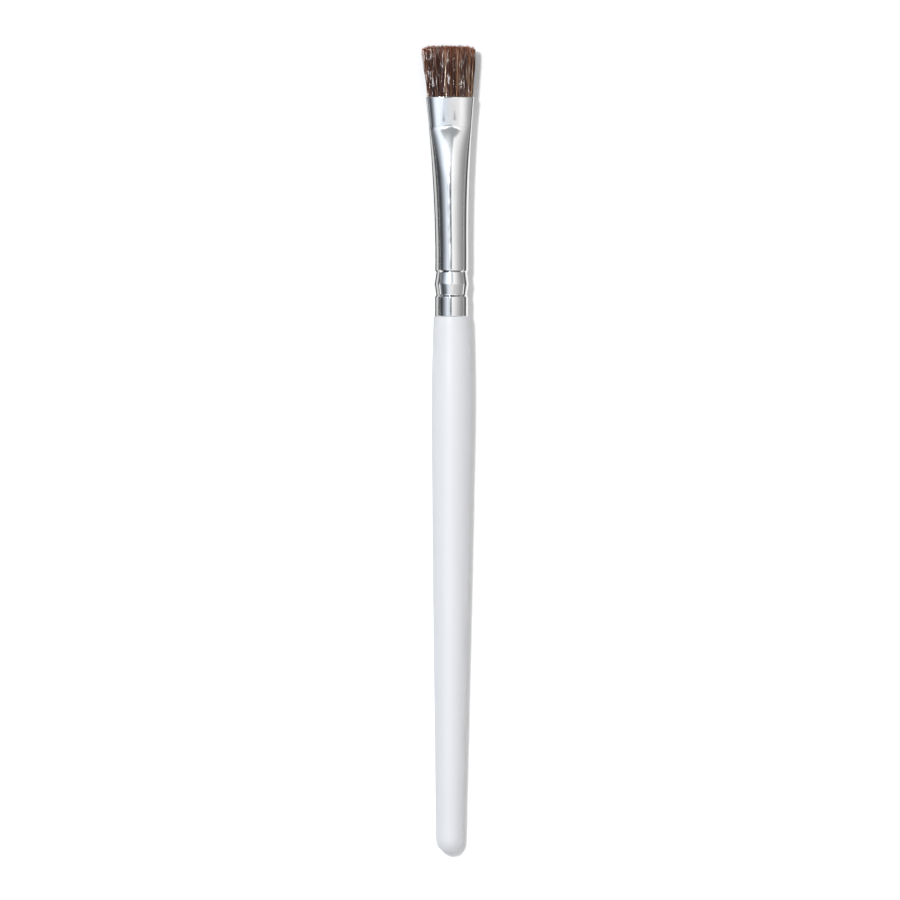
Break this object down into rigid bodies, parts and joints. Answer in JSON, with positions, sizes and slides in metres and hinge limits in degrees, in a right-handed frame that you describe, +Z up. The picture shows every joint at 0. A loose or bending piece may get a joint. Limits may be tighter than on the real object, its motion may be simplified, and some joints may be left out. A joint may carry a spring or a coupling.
{
  "type": "eyeliner brush",
  "caption": "Flat eyeliner brush lying down: a slim turned handle that tapers to a rounded butt, a crimped ferrule pressed from round to flat, and a short flared tuft cut straight across.",
  "frame": {"origin": "on the surface that the brush lies on, under the middle of its footprint", "axes": "+Y along the brush towards the hair, +X across its flat face, +Z up from the surface"},
  "size_m": [0.01, 0.1503, 0.0073],
  "materials": {
    "white_lacquer": "gloss",
    "polished_aluminium": "polished",
    "brown_hair": "satin",
    "cured_adhesive": "gloss"
  },
  "bodies": {
    "root": {"handle": "white_lacquer", "ferrule": "polished_aluminium", "bristles": "brown_hair", "root_glue": "cured_adhesive"}
  },
  "joints": []
}
